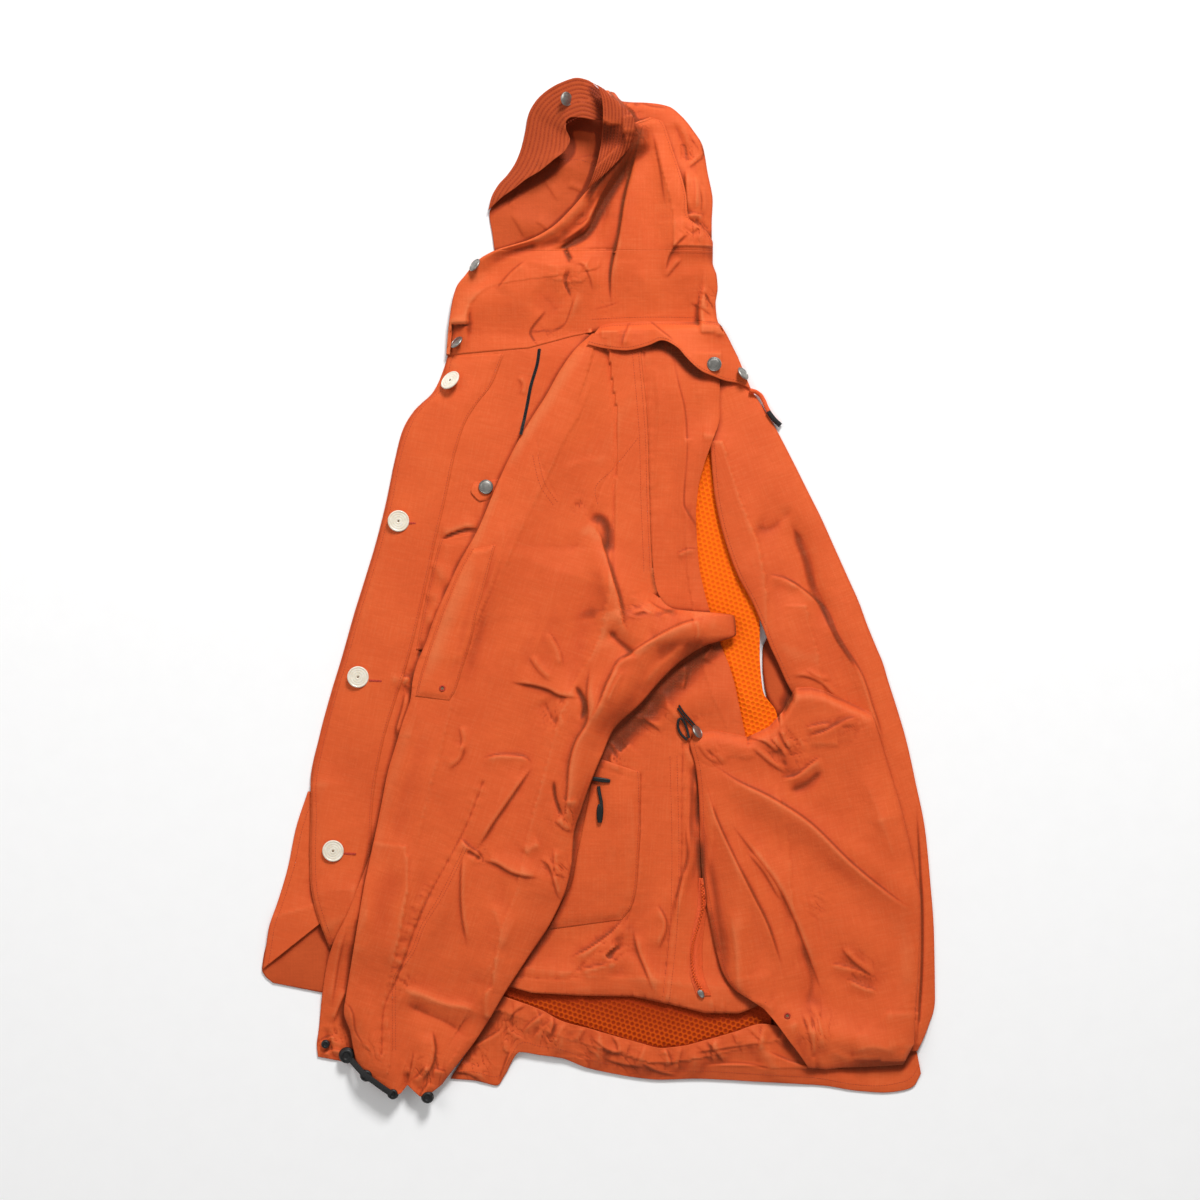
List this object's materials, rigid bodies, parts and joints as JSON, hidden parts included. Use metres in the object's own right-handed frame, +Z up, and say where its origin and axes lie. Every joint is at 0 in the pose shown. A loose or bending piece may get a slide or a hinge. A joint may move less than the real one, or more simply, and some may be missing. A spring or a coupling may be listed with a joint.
{
  "type": "hooded jacket",
  "caption": "Hooded nylon jacket with a net lining, laid on its side with the left sleeve across the body and the back cape spread open.",
  "frame": {"origin": "middle of the laid-out jacket's plan, on the surface it lies on", "axes": "+Y from the hem towards the hood, +X from the front edge towards the back cape, +Z up from the surface"},
  "size_m": [0.6744, 1.0276, 0.0534],
  "materials": {
    "shell": "crisp orange nylon with a faint grey-brown sheen",
    "net": "bright orange hexagonal net",
    "zip_tape": "bright orange woven tape",
    "button": "cream four-hole button, satin",
    "snap": "brushed grey steel",
    "black_trim": "matt black cord and moulded ends"
  },
  "bodies": {
    "root": {"right_facing": "shell", "right_front": "shell", "hidden_layers": "shell", "right_back_edge": "shell", "right_back": "shell", "right_hood": "shell", "hem_band": "shell", "right_cape": "shell", "left_front": "shell", "front_placket": "shell", "chest_pocket": "shell", "snap_tab": "shell", "side_back": "shell", "hand_pocket": "shell", "game_bag": "shell", "cuff_fold": "shell", "left_sleeve": "shell", "arm_pocket": "shell", "brim_lower": "shell", "hood_gusset": "shell", "collar": "shell", "left_hood": "shell", "brim_upper": "shell", "yoke_flap": "shell", "net_vent": "net", "net_hem": "net", "game_bag_zip": "zip_tape", "hanging_loop": "zip_tape", "button_1": "button", "button_2": "button", "button_3": "button", "button_4": "button", "snap_collar_top": "snap", "snap_collar_low": "snap", "snap_brim": "snap", "snap_chest": "snap", "snap_yoke": "snap", "snap_yoke_edge": "snap", "snap_bag": "snap", "bag_zip_head": "snap", "chest_zip": "black_trim", "cuff_cord": "black_trim", "cuff_cord_lock": "black_trim", "cuff_cord_end": "black_trim", "cuff_toggle": "black_trim", "pocket_pull_cord": "black_trim", "pocket_zip_head": "black_trim", "bag_pull_cord": "black_trim", "bag_loop": "black_trim", "hanging_loop_tip": "black_trim"}
  },
  "joints": []
}
